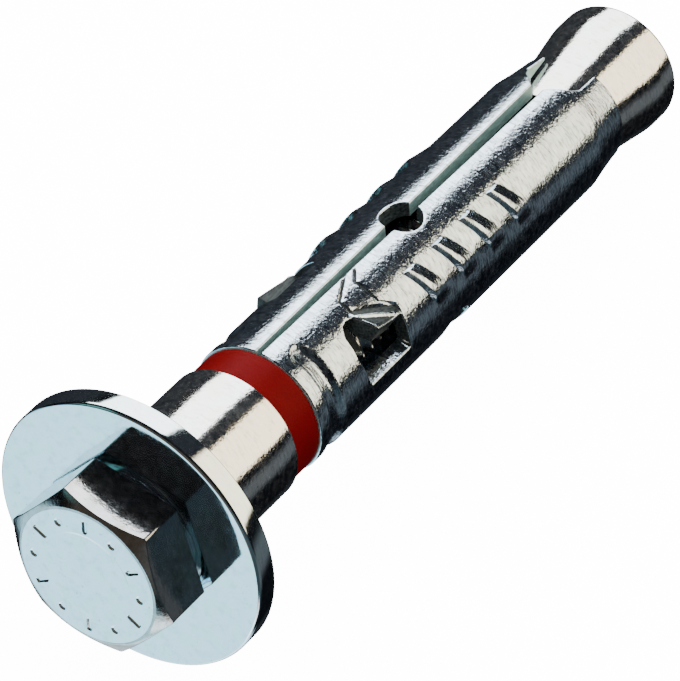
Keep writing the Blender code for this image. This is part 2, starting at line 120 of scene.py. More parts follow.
PAPER_GLOW = 14.0  # the paper is lit until it is all but white
PAPER_HALF_M = 6.0
PAPER_DROP_M = 0.0001  # it lies this far below the anchor


def make_floor():
    bm = bmesh.new()
    bmesh.ops.create_grid(bm, x_segments=1, y_segments=1, size=PAPER_HALF_M)
    mesh = bpy.data.meshes.new("floor")
    bm.to_mesh(mesh)
    bm.free()
    floor = bpy.data.objects.new("floor", mesh)
    bpy.context.collection.objects.link(floor)
    floor.location.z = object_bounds()[0][2] - PAPER_DROP_M
    floor.visible_glossy = False
    floor.visible_diffuse = False
    mat = bpy.data.materials.new("floor_paper")
    mat.use_nodes = True
    shader = mat.node_tree.nodes["Principled BSDF"]
    shader.inputs["Base Color"].default_value = (0.93, 0.93, 0.93, 1.0)
    shader.inputs["Roughness"].default_value = 0.9
    shader.inputs["Specular IOR Level"].default_value = 0.0
    shader.inputs["Emission Color"].default_value = (1.0, 1.0, 1.0, 1.0)
    shader.inputs["Emission Strength"].default_value = PAPER_GLOW
    mesh.materials.append(mat)


make_floor()


# studio: bright cards seen by the metal, as (lowest, highest) angles from the anchor's axis and
# round it, in degrees, with a colour, a strength and the softness of the card's edges
CARDS = (
    ((28.0, 88.0), (-56.0, 1.0), (0.96, 1.0, 1.0), 4.9, 4.0),
    ((28.0, 88.0), (27.0, 86.0), (1.0, 0.86, 0.61), 3.25, 5.0),
    ((22.0, 92.0), (-2.0, 30.0), (0.60, 0.76, 1.0), 0.018, 8.0),
    ((22.0, 100.0), (104.0, 128.0), (0.80, 0.92, 1.0), 0.12, 14.0),
    ((95.0, 165.0), (165.0, 262.0), (0.45, 0.80, 0.94), 2.25, 14.0),
    ((72.0, 104.0), (165.0, 215.0), (0.75, 0.92, 1.0), 1.4, 12.0),
    ((95.0, 165.0), (84.0, 150.0), (0.48, 0.75, 0.87), 0.085, 20.0),
    ((110.0, 125.0), (146.0, 178.0), (1.0, 1.0, 1.0), 1.8, 6.0),
    ((142.0, 181.0), (-181.0, 181.0), (1.0, 0.80, 0.58), 0.09, 12.0),
    ((120.0, 140.0), (-78.0, -48.0), (0.35, 0.85, 0.85), 0.40, 12.0),
    ((10.0, 92.0), (-180.0, -66.0), (0.68, 0.82, 1.0), 0.024, 14.0),
)
STUDIO_DARK = (0.004, 0.005, 0.007)
DAYLIGHT_AMBIENT = 0.32
DAYLIGHT_SKY = 1.9
DAYLIGHT_FROM = (62.0, -8.0)  # its middle: degrees from the anchor's axis, degrees round it
DAYLIGHT_EDGE = -0.3  # cosine of the angle from there at which it ends


def make_world():
    """White light for the paper, and a dark studio with bright cards for what the metal reflects."""
    world = bpy.data.worlds.new("studio")
    bpy.context.scene.world = world
    world.use_nodes = True
    tree = world.node_tree
    nodes = tree.nodes
    links = tree.links
    nodes.clear()

    def operation_node(kind, operation, values):
        node = nodes.new(kind)
        node.operation = operation
        for socket, value in zip(node.inputs, values):
            if isinstance(value, bpy.types.NodeSocket):
                links.new(value, socket)
            else:
                socket.default_value = value
        return node

    def math_node(operation, *values):
        return operation_node("ShaderNodeMath", operation, values).outputs[0]

    def vector_node(operation, *values):
        return operation_node("ShaderNodeVectorMath", operation, values)

    def dot(vector, direction):
        return vector_node("DOT_PRODUCT", vector, direction).outputs["Value"]

    def add(first, second):
        return vector_node("ADD", first, second).outputs["Vector"]

    def white(strength):
        node = nodes.new("ShaderNodeBackground")
        node.inputs["Color"].default_value = (1.0, 1.0, 1.0, 1.0)
        node.inputs["Strength"].default_value = strength
        return node

    def ramp(value, start, end):
        node = nodes.new("ShaderNodeMapRange")
        node.interpolation_type = "SMOOTHSTEP"
        links.new(value, node.inputs["Value"])
        node.inputs["From Min"].default_value = start
        node.inputs["From Max"].default_value = end
        return node.outputs["Result"]

    coords = nodes.new("ShaderNodeTexCoord").outputs["Generated"]
    along, across, up = (AXIS.to_3x3() @ Vector(v) for v in ((1, 0, 0), (0, -1, 0), (0, 0, 1)))
    polar = math_node("DEGREES", math_node("ARCCOSINE", dot(coords, along)))
    turn = math_node("DEGREES", math_node("ARCTAN2", dot(coords, across), dot(coords, up)))
    total = None
    for (near, far), (first, last), colour, strength, soft in CARDS:
        middle = (first + last) / 2
        half = (last - first) / 2
        wrapped = math_node("WRAP", math_node("SUBTRACT", turn, middle), 180.0, -180.0)
        from_middle = math_node("ABSOLUTE", wrapped)
        inside = ramp(from_middle, half + soft / 2, half - soft / 2)
        after = ramp(polar, near - soft / 2, near + soft / 2)
        before = ramp(polar, far + soft / 2, far - soft / 2)
        share = math_node("MULTIPLY", math_node("MULTIPLY", inside, after), before)
        scaled = vector_node("SCALE", [c * strength for c in colour])
        links.new(share, scaled.inputs["Scale"])
        card = scaled.outputs["Vector"]
        total = add(total, card) if total else card
    studio = nodes.new("ShaderNodeBackground")
    links.new(add(total, STUDIO_DARK), studio.inputs["Color"])
    polar_from, turn_from = (math.radians(v) for v in DAYLIGHT_FROM)
    middle = along * math.cos(polar_from)
    middle += (up * math.cos(turn_from) + across * math.sin(turn_from)) * math.sin(polar_from)
    sky = math_node("MULTIPLY", ramp(dot(coords, middle), DAYLIGHT_EDGE, 1.0), DAYLIGHT_SKY)
    daylight = white(1.0)
    links.new(math_node("ADD", sky, DAYLIGHT_AMBIENT), daylight.inputs["Strength"])
    paper = white(PAPER_GLOW + 1.0)
    path = nodes.new("ShaderNodeLightPath")
    seen = daylight
    for ray, other in (("Is Camera Ray", paper), ("Is Glossy Ray", studio)):
        mix = nodes.new("ShaderNodeMixShader")
        links.new(path.outputs[ray], mix.inputs["Fac"])
        links.new(seen.outputs[0], mix.inputs[1])
        links.new(other.outputs[0], mix.inputs[2])
        seen = mix
    output = nodes.new("ShaderNodeOutputWorld")
    links.new(seen.outputs[0], output.inputs["Surface"])


make_world()


# pieces: geometry helpers

ROTATION = np.array(AXIS.to_3x3())
ORIGIN = np.array(AXIS.translation)
TURNED_COLUMNS = 256
ROUND = math.cos(math.pi / 64)  # brings a true circle down to the flats of the solids' 64-sided ones


def placed(x, radius, angle):
    """World points from stations and radii in millimetres and angles in radians."""
    x, radius, angle = np.broadcast_arrays(x, radius, angle)
    local = np.stack((x, -radius * np.sin(angle), radius * np.cos(angle)), axis=-1) * MM
    return local @ ROTATION.T + ORIGIN


def piece_from(node, points, faces, mat, sharp_deg=40.0, parts=()):
    """Makes a smooth shaded piece that stands for a node of the frame.

    Parts are (material, face indices), for faces that don't have the piece's main material.
    """
    name = node + "_fine"
    mesh = bpy.data.meshes.new(name)
    mesh.from_pydata(points.reshape(-1, 3).tolist(), [], faces)
    mesh.materials.append(mat)
    for place, (part_mat, indices) in enumerate(parts, 1):
        mesh.materials.append(part_mat)
        for index in indices:
            mesh.polygons[index].material_index = place
    bm = bmesh.new()
    bm.from_mesh(mesh)
    bmesh.ops.remove_doubles(bm, verts=bm.verts, dist=1e-6)
    bmesh.ops.recalc_face_normals(bm, faces=bm.faces)
    bm.to_mesh(mesh)
    bm.free()
    mesh.shade_smooth()
    mesh.set_sharp_from_angle(angle=math.radians(sharp_deg))
    piece = bpy.data.objects.new(name, mesh)
    bpy.context.collection.objects.link(piece)
    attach(piece, "root")
    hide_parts(node)


def grid_faces(rows, columns, closed_rows=False, closed_columns=True, start=0):
    """Quads between neighbouring rows of a rows x columns array of points."""
    faces = []
    for i in range(rows if closed_rows else rows - 1):
        j = (i + 1) % rows
        for k in range(columns if closed_columns else columns - 1):
            n = (k + 1) % columns
            faces.append((start + i * columns + k, start + i * columns + n,
                          start + j * columns + n, start + j * columns + k))
    return faces


def arc_points(centre_x, centre_r, radius, start_deg, end_deg, steps):
    """Profile points on a round edge; 0 degrees points to +x, 90 outwards."""
    angles = np.radians(np.linspace(start_deg, end_deg, steps + 1))
    return [(centre_x + radius * math.cos(a), centre_r + radius * math.sin(a)) for a in angles]


def turned_piece(node, profile, mat):
    """Spins a closed profile of (station, radius) points round the axis."""
    profile = np.array(profile)
    angles = np.linspace(0.0, TAU, TURNED_COLUMNS, endpoint=False)
    points = placed(profile[:, :1], profile[:, 1:] * ROUND, angles[None, :])
    faces = grid_faces(len(profile), TURNED_COLUMNS, closed_rows=True)
    piece_from(node, points, faces, mat)


# materials

def node_tree(name):
    """A new material and its node tree."""
    mat = bpy.data.materials.new(name)
    mat.use_nodes = True
    return mat, mat.node_tree


def axis_coordinates(tree, scale):
    """Texture coordinates in metres along the anchor's axis, across it and up, times a scale each."""
    coords = tree.nodes.new("ShaderNodeTexCoord")
    turn = tree.nodes.new("ShaderNodeMapping")
    turn.inputs["Rotation"].default_value = AXIS.to_3x3().inverted().to_euler()
    tree.links.new(coords.outputs["Object"], turn.inputs["Vector"])
    stretch = tree.nodes.new("ShaderNodeMapping")
    stretch.inputs["Scale"].default_value = scale
    tree.links.new(turn.outputs["Vector"], stretch.inputs["Vector"])
    return stretch.outputs["Vector"]


def noise(tree, scale, detail=3.0, roughness=0.55, distortion=0.0):
    """Noise between 0 and 1 with lumps of 1/scale metres, a number or one each way."""
    if isinstance(scale, (int, float)):
        scale = (scale, scale, scale)
    texture = tree.nodes.new("ShaderNodeTexNoise")
    texture.inputs["Scale"].default_value = 1.0
    texture.inputs["Detail"].default_value = detail
    texture.inputs["Roughness"].default_value = roughness
    texture.inputs["Distortion"].default_value = distortion
    tree.links.new(axis_coordinates(tree, scale), texture.inputs["Vector"])
    return texture.outputs["Fac"]


def ramp_between(tree, value, low, high, to_low, to_high):
    node = tree.nodes.new("ShaderNodeMapRange")
    tree.links.new(value, node.inputs["Value"])
    for socket, number in zip(("From Min", "From Max", "To Min", "To Max"), (low, high, to_low, to_high)):
        node.inputs[socket].default_value = number
    return node.outputs["Result"]


MIX_COLOURS = (6, 7)  # a mix node's sockets for colours
MIX_RESULT = 2


def colour_mix(tree, fac, first, second):
    node = tree.nodes.new("ShaderNodeMix")
    node.data_type = "RGBA"
    tree.links.new(fac, node.inputs["Factor"])
    for place, colour in zip(MIX_COLOURS, (first, second)):
        socket = node.inputs[place]
        if isinstance(colour, tuple):
            socket.default_value = (*colour, 1.0)
        else:
            tree.links.new(colour, socket)
    return node.outputs[MIX_RESULT]


def bumps(tree, shader, layers):
    """Stacks (height, depth in metres) layers into the shader's normal."""
    normal = None
    for height, depth in layers:
        bump = tree.nodes.new("ShaderNodeBump")
        bump.inputs["Strength"].default_value = 1.0
        bump.inputs["Distance"].default_value = depth
        tree.links.new(height, bump.inputs["Height"])
        if normal:
            tree.links.new(normal, bump.inputs["Normal"])
        normal = bump.outputs["Normal"]
    tree.links.new(normal, shader.inputs["Normal"])


SPECK_TINT = (0.20, 0.19, 0.16)
RUBBED_TINT = (0.16, 0.17, 0.18)


def zinc(name, tints, gloss, grain, streaks, dents, dull=0.06, scuff=0.3, rub=(0.50, 0.76)):
    """Bright zinc plate: three tints in soft clouds, specks, rubbed places, fine grain and shallow dents."""
    mat, tree = node_tree(name)
    shader = tree.nodes["Principled BSDF"]
    frost = noise(tree, (3400.0, 2100.0, 2100.0), 3.0, 0.65)
    tree.links.new(ramp_between(tree, frost, 0.42, 0.72, 1.0, 1.0 - dull), shader.inputs["Metallic"])
    clouds = ramp_between(tree, noise(tree, 230.0, 2.0, 0.5, 0.6), 0.35, 0.65, 0.0, 1.0)
    patches = ramp_between(tree, noise(tree, 610.0, 3.0, 0.6, 0.3), 0.42, 0.72, 0.0, 1.0)
    tint = colour_mix(tree, clouds, tints[0], tints[1])
    tint = colour_mix(tree, patches, tint, tints[2])
    specks = ramp_between(tree, noise(tree, 3300.0, 1.0, 0.4), 0.735, 0.78, 0.0, 0.45)
    tint = colour_mix(tree, specks, tint, SPECK_TINT)
    rubbed = noise(tree, (5200.0, 1100.0, 1100.0), 4.0, 0.7)
    tint = colour_mix(tree, ramp_between(tree, rubbed, *rub, 0.0, scuff), tint, RUBBED_TINT)
    tree.links.new(tint, shader.inputs["Base Color"])
    haze = noise(tree, 900.0, 4.0, 0.65)
    tree.links.new(ramp_between(tree, haze, 0.3, 0.75, gloss[0], gloss[1]), shader.inputs["Roughness"])
    layers = [
        (noise(tree, dents[0], 2.0, 0.5), dents[1]),
        (noise(tree, streaks[0], 3.0, 0.6), streaks[1]),
        (noise(tree, grain[0], 2.0, 0.6), grain[1]),
    ]
    bumps(tree, shader, layers)
    return mat


def sheared_zinc_and_shade(name, dark, light, shine):
    """The cut walls of the sheet: sheared steel under a thin greenish plate, much duller than the faces.
    Given near-black tints it is painted shade, for walls that lie in shadow.
    """
    mat, tree = node_tree(name)
    shader = tree.nodes["Principled BSDF"]
    shader.inputs["Metallic"].default_value = 0.6 * shine
    shader.inputs["Specular IOR Level"].default_value = 0.5 * shine
    tear = noise(tree, (1500.0, 5200.0, 5200.0), 3.0, 0.6)
    fac = ramp_between(tree, tear, 0.35, 0.7, 0.0, 1.0)
    tint = colour_mix(tree, fac, dark, light)
    tree.links.new(tint, shader.inputs["Base Color"])
    tree.links.new(ramp_between(tree, tear, 0.3, 0.7, 0.34, 0.52), shader.inputs["Roughness"])
    bumps(tree, shader, [(tear, 2.5e-5)])
    return mat


def red_plastic():
    """Moulded red plastic, satin, with a faint orange peel and fine scuffs."""
    mat, tree = node_tree("plastic_red_fine")
    shader = tree.nodes["Principled BSDF"]
    shade = ramp_between(tree, noise(tree, 420.0, 3.0, 0.6), 0.3, 0.7, 0.0, 1.0)
    tint = colour_mix(tree, shade, (0.135, 0.0020, 0.0030), (0.165, 0.0028, 0.0040))
    tree.links.new(tint, shader.inputs["Base Color"])
    scuffs = noise(tree, (5200.0, 900.0, 900.0), 3.0, 0.6)
    tree.links.new(ramp_between(tree, scuffs, 0.3, 0.75, 0.34, 0.5), shader.inputs["Roughness"])
    shader.inputs["Specular IOR Level"].default_value = 0.03
    bumps(tree, shader, [(noise(tree, 2600.0, 2.0, 0.5), 6e-6), (scuffs, 3e-6)])
    return mat


zinc_blue = zinc(
    "zinc_blue_fine",
    ((0.82, 0.94, 0.97), (0.90, 0.91, 1.00), (0.83, 0.99, 0.95)),
    gloss=(0.04, 0.12), grain=(3000.0, 2.0e-6), streaks=((1500.0, 400.0, 400.0), 2.0e-6),
    dents=(480.0, 9.0e-6), dull=0.01,
)
zinc_forged = zinc(
    "zinc_forged_fine",
    ((0.52, 0.51, 0.50), (0.46, 0.47, 0.50), (0.36, 0.33, 0.30)),
    gloss=(0.06, 0.15), grain=(3000.0, 9.0e-6), streaks=((2400.0, 1200.0, 1200.0), 3.0e-6),
    dents=(700.0, 6.0e-6), dull=0.03, scuff=0.6,
)
zinc_warm = zinc(
    "zinc_warm_fine",
    ((0.95, 0.94, 0.91), (0.93, 0.94, 0.94), (0.95, 0.90, 0.82)),
    gloss=(0.06, 0.14), grain=(3600.0, 1.0e-5), streaks=((5500.0, 900.0, 900.0), 6.0e-6),
    dents=(900.0, 4.0e-6), dull=0.05, scuff=0.45,
)
zinc_bright = zinc(
    "zinc_bright_fine",
    ((0.76, 0.90, 1.00), (0.80, 0.88, 1.00), (0.60, 0.73, 0.82)),
    gloss=(0.07, 0.17), grain=(2900.0, 2.6e-5), streaks=((5500.0, 1500.0, 1500.0), 2.2e-5),
    dents=(700.0, 1.6e-5), dull=0.05, scuff=0.9, rub=(0.44, 0.70),
)
zinc_cut = sheared_zinc_and_shade("zinc_sheared", (0.28, 0.43, 0.41), (0.46, 0.63, 0.60), 1.0)
# painted shade: near-black walls in the holes and windows, and dark strips and creases beside each barb,
# where shade falls
zinc_painted_shade = sheared_zinc_and_shade("zinc_painted_shade", (0.012, 0.016, 0.017), (0.06, 0.075, 0.073), 0.3)
plastic_red = red_plastic()


# washer
BORE_R = 4.25
WASHER_R = 12.0
WASHER_EDGE_ROUND = 0.4
WASHER_BACK_ROUND = 0.12
WASHER_DRAW = 0.08  # the punched back face is drawn down at the bore, as on the solid
WASHER_DRAWN_R = 6.35


def washer():
    r = WASHER_EDGE_ROUND
    back = WASHER_THICKNESS
    profile = [(0.0, 4.5), *[(0.0, q) for q in np.linspace(5.0, WASHER_R - 1.2, 8)]]
    profile += arc_points(r, WASHER_R - r, r, 180.0, 90.0, 8)
    small = WASHER_BACK_ROUND
    profile += arc_points(back - small, WASHER_R - small, small, 90.0, 0.0, 4)
    profile += [(back, WASHER_R - 1.0), (back, 8.0), (back, WASHER_DRAWN_R)]
    profile += [(back - WASHER_DRAW, 4.5), (back - WASHER_DRAW - 0.1, BORE_R), (0.1, BORE_R)]
    turned_piece("washer", profile, zinc_blue)


# distance sleeve and compression ring
SPACER_START = 2.3
SPACER_END = 13.95
SPACER_R = 6.0
SPACER_EDGE_ROUND = 0.12
RING_START = 14.25
RING_END = 17.2
RING_R = 5.7
RING_EDGE_ROUND = 0.1
SEAT_FILL = 0.27  # the fine pieces are drawn this much closer to their neighbours


def tube_piece(node, start, end, outer, edge, mat):
    profile = [(start, BORE_R + 0.1), (start, outer - edge * 2)]
    profile += arc_points(start + edge, outer - edge, edge, 180.0, 90.0, 5)
    profile += [(start + (end - start) * share, outer) for share in (0.15, 0.3, 0.5, 0.7, 0.85)]
    profile += arc_points(end - edge, outer - edge, edge, 90.0, 0.0, 5)
    profile += [(end, outer - edge * 2), (end, BORE_R + 0.1), (end - 0.1, BORE_R), (start + 0.1, BORE_R)]
    turned_piece(node, profile, mat)


# cone nut
CONE_INSIDE = 4.6
CONE_SEAT_R = 4.9
CONE_R = 5.8
CONE_FLARE_LENGTH = 5.8
CONE_LAND = 2.4
CONE_EDGE_ROUND = 0.5
CONE_BORE_R = 3.97
SLEEVE_START = 17.5
SLEEVE_LENGTH = 46.5
SLEEVE_END = SLEEVE_START + SLEEVE_LENGTH
CONE_SLOPE = (CONE_R - CONE_SEAT_R) / CONE_FLARE_LENGTH
CONE_END = SLEEVE_END + CONE_FLARE_LENGTH + CONE_LAND


def cone_radius(x):
    return CONE_SEAT_R + CONE_SLOPE * (x - SLEEVE_END)


def cone_nut():
    start = SLEEVE_END - CONE_INSIDE
    flare_end = SLEEVE_END + CONE_FLARE_LENGTH
    r = CONE_EDGE_ROUND
    profile = [(start, CONE_BORE_R + 0.2), (start, cone_radius(start) - 0.25)]
    profile += [(start + 0.2, cone_radius(start + 0.2))]
    profile += [(x, cone_radius(x)) for x in np.linspace(start + 1.0, flare_end - 0.35, 8)]
    # the flare turns into the straight land over a short round
    profile += [(flare_end - 0.12, CONE_R - 0.035), (flare_end + 0.12, CONE_R - 0.008)]
    profile += [(flare_end + 0.4, CONE_R)]
    profile += arc_points(CONE_END - r, CONE_R - r, r, 90.0, 0.0, 8)
    profile += [(CONE_END, CONE_R - 1.0), (CONE_END, CONE_BORE_R + 0.35)]
    profile += [(CONE_END - 0.3, CONE_BORE_R + 0.02), (start + 0.2, CONE_BORE_R)]
    turned_piece("cone_nut", profile, zinc_warm)


# expansion sleeve: the flat sheet is laid out in (station, arc) millimetres, meshed and rolled up
SLEEVE_R = 5.9
SHEET = 1.4
SEAM_AT_RING = 0.42
SEAM_AT_CONE = 1.22
EDGE_ROUND = 0.16  # outer edges of every cut
INNER_EDGE = 0.1
STAMPINGS = 3  # the pattern of hole, barb, window and teeth comes three times round the sleeve
STAMPING_DEG = 360.0 / STAMPINGS
HOLE_R = 1.8
HOLE_STATION = 20.4
HOLE_STEPS = 14  # of each half of the seam's hole
BORE_CLEARANCE = 0.22  # between the sleeve and the cone
NOTCH_DEPTH = 5.5
NOTCH_SHOULDER = 3.3
NOTCH_HALF_DEG = 27.0
NECK_LENGTH = 4.3
NECK_DRAW = 0.55
GROOVE_START = 0.9
GROOVE_LENGTH = 2.4
GROOVE_DEPTH = 0.41
GROOVE_PROFILE = (  # share of its length, share of its depth
    (0.0, 0.0), (0.06, 0.0), (0.10, 0.20), (0.24, 0.25), (0.29, 0.48), (0.34, 0.51), (0.69, 0.97),
    (0.73, 1.0), (0.77, 0.97), (1.05, 0.03), (1.08, 0.0),
)
GROOVE_MESH_EXTRA = (0.17, 0.43, 0.52, 0.61, 0.84, 0.91, 0.98, 1.13)
GROOVE_CLEAR_DEG = 17.0
ROW_CENTRE_DEG = 58.0
ROW_HALF_DEG = 23.0
ROW_START = 16.3
TEETH_IN_ROW = 4
TOOTH_PITCH = 4.1
TOOTH_LENGTH = 3.0
TOOTH_HEIGHT = 0.42
TOOTH_LEAD = 14.0  # how far the rows would advance in a whole turn
TOOTH_MESH_LINES = (
    -0.25, -0.06, 0.0, 0.06, 0.12, 0.18, 0.24, 0.34, 0.44, 0.54, 0.65, 0.77, 0.9, 1.05, 1.2, 1.35, 1.5, 1.65,
    1.8, 1.95, 2.1, 2.35, 2.7, 2.98, 3.25,
)
BARB_NEAR = (8.5, 33.0)  # ends of the line that the barb is bent about: station, degrees from the hole
BARB_FAR = (12.8, 57.0)
BARB_WIDTH = 1.42  # from that line to the tip, in the flat sheet
BARB_TIP_AT = 0.29  # how far along the line the tip lies
BARB_BEND_DEG = 34.0
BARB_SHOULDER = ((-0.98, 0.0), (-0.74, -0.2), (0.0, 0.2))  # the sheet beside that line: distance, rise
BARB_RIDGE = 0.07
BARB_RIDGE_HALF = 0.13
BARB_BEND_LENGTH = 0.45
BARB_ROOM = BARB_WIDTH + 0.3  # the barb lies within this distance of the line,
BARB_SIDE_ROOM = 0.25  # and within this distance of its own two sides
BARB_MESH_LINES = (-1.1, -0.98, -0.86, -0.74, -0.6, -0.3, -0.18, -0.09, 0.0, 0.09, 0.18, 0.28, 0.38, 0.48)
PAINTED_SHADE_STRIPS = ((-0.8, -0.2), (0.2, 0.98))  # painted shade: dark, dull strips either side of that line, where shade falls beside the bend
PAINTED_SHADE_AFTER = 0.15  # they stop short of its ends
PAINTED_SHADE_BEFORE = 0.1
WINDOW_REST = (  # the window's other corners: station, degrees from the hole, round
    (12.8, 87.0, 0.45), (7.1, 87.3, 0.35), (6.8, 73.0, 0.3), (6.5, 60.0, 0.5), (6.6, 40.0, 0.9),
    (7.2, 33.0, 0.5), (7.8, 31.2, 0.3),
)
LOWER_WALL_DEG = (81.0, 5.0)  # the window's lower wall leans in from here, in full this much further on
LOWER_WALL_LEAN = 0.34
ROLL_FLAT = 0.12  # the sheet is rolled a little flatter between each hole and barb
ROLL_FLAT_AT = 24.0
ROLL_FLAT_HALF_DEG = 16.0
CREASES = (  # thin pressed lines beside each barb: station, degrees from the hole
    ((11.6, 3.5), (8.9, 17.0), (8.9, 31.0)),
    ((12.8, 5.0), (11.6, 14.0), (11.6, 37.0), (12.7, 47.0), (12.85, 56.0)),
)
CREASE_DEPTH = 0.13
CREASE_HALF_WIDTH = 0.19
# half width of the painted shade along each crease near a barb
CREASE_PAINTED_SHADE_HALF = 0.1
CREASE_MESH_LINES = (-0.2, -0.12, -0.06, 0.0, 0.06, 0.12, 0.2)
EDGE_ROWS = 6  # rows of points over the round edge of a cut
WALL_SHARES = (0.35, 0.7, 1.0)
FIRST_WALL_ROW = 4
OUTER_STEP = 0.32  # spacing of the outside's mesh
INNER_STEP = 0.9


def arc_mm(degrees):
    return math.radians(degrees) * SLEEVE_R


def smooth(value):
    t = np.clip(value, 0.0, 1.0)
    return t * t * (3.0 - 2.0 * t)


def rounded_path(corners, closed=True, step=0.32):
    """A path through (s, a, radius) corners with round corners, in points about a step apart."""
    count = len(corners)
    path = []
    for i, (s, a, radius) in enumerate(corners):
        here = np.array((s, a))
        if radius == 0.0 or (not closed and i in (0, count - 1)):
            path.append(here)
            continue
        before = np.array(corners[i - 1][:2]) - here
        after = np.array(corners[(i + 1) % count][:2]) - here
        len_before = np.hypot(*before)
        len_after = np.hypot(*after)
        before /= len_before
        after /= len_after
        half = math.acos(np.clip(before @ after, -1.0, 1.0)) / 2
        reach = min(radius / math.tan(half), 0.45 * len_before, 0.45 * len_after)
        start = here + before * reach
        end = here + after * reach
        turns = 5
        for k in range(turns + 1):
            t = k / turns
            path.append((1 - t) ** 2 * start + 2 * t * (1 - t) * here + t ** 2 * end)
    points = []
    count = len(path)
    for i in range(count if closed else count - 1):
        a = path[i]
        b = path[(i + 1) % count]
        steps = max(1, int(np.ceil(np.hypot(*(b - a)) / step)))
        points += [a + (b - a) * k / steps for k in range(steps)]
    if not closed:
        points.append(path[-1])
    return np.array(points)


def inset(loop, distance):
    """Moves a loop into the material, which lies on its left, by a distance."""
    before = loop - np.roll(loop, 1, axis=0)
    after = np.roll(loop, -1, axis=0) - loop
    before /= np.linalg.norm(before, axis=1)[:, None]
    after /= np.linalg.norm(after, axis=1)[:, None]
    normal = np.stack((-(before + after)[:, 1], (before + after)[:, 0]), axis=1)
    length = np.linalg.norm(normal, axis=1)
    normal /= length[:, None]
    miter = np.minimum(2.0 / np.maximum(length, 1e-6), 1.6)
    return loop + normal * miter[:, None] * distance


def seam_half(station):
    return (SEAM_AT_RING + (SEAM_AT_CONE - SEAM_AT_RING) * station / SLEEVE_LENGTH) / 2


def sheet_outline():
    """The sheet's outer edge, with half the seam's hole and half the notch at either long side."""
    girth = TAU * SLEEVE_R
    floor = SLEEVE_LENGTH - NOTCH_DEPTH
    shoulder = SLEEVE_LENGTH - NOTCH_SHOULDER
    cheek = arc_mm(NOTCH_HALF_DEG)
    side = [(0.0, seam_half(0.0), 0.25)]
    edge = seam_half(HOLE_STATION)
    first = math.asin(edge / HOLE_R)
    for k in range(HOLE_STEPS + 1):
        turn = math.pi - first - (math.pi - 2 * first) * k / HOLE_STEPS
        corner = 0.12 if k in (0, HOLE_STEPS) else 0.0
        side.append((HOLE_STATION + HOLE_R * math.cos(turn), HOLE_R * math.sin(turn), corner))
    side.append((floor + 0.2, seam_half(floor), 0.2))
    side.append((shoulder - 0.2, cheek - 0.5, 0.6))
    side.append((shoulder + 0.6, cheek, 0.5))
    side.append((SLEEVE_LENGTH, cheek, 0.3))
    return side + [(s, girth - a, r) for s, a, r in side[::-1]]


def barb_line(turn_deg):
    """The line that a barb is bent about: both ends, its heading and the way to the tip."""
    near = np.array((BARB_NEAR[0], arc_mm(turn_deg + BARB_NEAR[1])))
    far = np.array((BARB_FAR[0], arc_mm(turn_deg + BARB_FAR[1])))
    along = (far - near) / np.linalg.norm(far - near)
    out = np.array((-along[1], along[0]))
    return near, far, along, out


def from_barb_line(s, a, index):
    """A barb's line and its length, and how far places lie along it (t) and out from it (d)."""
    near, far, along, out = barb_line(STAMPING_DEG * index)
    rel_s = s - near[0]
    rel_a = a - near[1]
    t = rel_s * along[0] + rel_a * along[1]
    d = rel_s * out[0] + rel_a * out[1]
    return near, along, out, np.linalg.norm(far - near), t, d


def window_outline(turn_deg):
    near, far, along, out = barb_line(turn_deg)
    tip = near + (far - near) * BARB_TIP_AT + out * BARB_WIDTH
    corners = [(*near, 0.12), (*tip, 0.14), (*far, 0.12)]
    corners += [(s, arc_mm(turn_deg + d), r) for s, d, r in WINDOW_REST]
    return corners


def leaning(loop, window):
    """Where a loop lies at the sheet's inner side: a window's lower wall leans towards its middle."""
    low = loop.copy()
    if window is not None:
        start, run = LOWER_WALL_DEG
        past = loop[:, 1] - arc_mm(STAMPING_DEG * window + start)
        low[:, 1] -= LOWER_WALL_LEAN * smooth(past / arc_mm(run))
    return low


def bore_radius(station):
    return np.maximum(SLEEVE_R - SHEET, cone_radius(SLEEVE_START + station) + BORE_CLEARANCE)


def row_place(s, a):
    """Where a point lies on the row of teeth nearest to it: from the first edge, and across."""
    degrees = np.degrees(a / SLEEVE_R)
    row = np.clip(np.floor(degrees / STAMPING_DEG), 0, STAMPINGS - 1)
    across = degrees - row * STAMPING_DEG - ROW_CENTRE_DEG
    along = s - ROW_START - TOOTH_LEAD * across / 360.0
    return along, across


def tooth_height(s, a):
    """A steep edge towards the head, a crest, a hollow near the seam's side and a ramp."""
    along, across = row_place(s, a)
    k = np.clip(np.floor((along + 0.05) / TOOTH_PITCH), 0, TEETH_IN_ROW - 1)
    u = along - k * TOOTH_PITCH
    rise = np.clip((u + 0.05) / 0.24, 0.0, 1.0)
    crest_end = 0.42 + 0.35 * smooth((across + 22.0) / 26.0)
    gentle = 1.0 - np.clip((u - crest_end) / (TOOTH_LENGTH - crest_end), 0.0, 1.0)
    steep = 1.0 - 1.22 * np.clip((u - crest_end) / 1.45, 0.0, 1.0) + 0.22 * np.clip((u - 2.1) / 0.8, 0.0, 1.0)
    hollow = smooth((5.0 - across) / 12.0)
    shape = rise * (hollow * steep + (1.0 - hollow) * gentle)
    within = (u > -0.05) & (u < TOOTH_LENGTH)
    side = smooth((across + ROW_HALF_DEG) / 1.8) * smooth((ROW_HALF_DEG - 4.0 - across) / 15.0)
    return np.where(within, side * TOOTH_HEIGHT * shape, 0.0)


def groove_depth(s, a):
    """The pressed groove, with its rounded ends either side of the seam."""
    degrees = np.degrees(a / SLEEVE_R)
    from_seam = np.minimum(degrees, 360.0 - degrees)
    u = (s - GROOVE_START) / GROOVE_LENGTH
    end = smooth((from_seam - GROOVE_CLEAR_DEG - 9.0 * (2 * u - 1.1) ** 2) / 3.5)
    shape = np.interp(u, *zip(*GROOVE_PROFILE))
    return GROOVE_DEPTH * end * shape


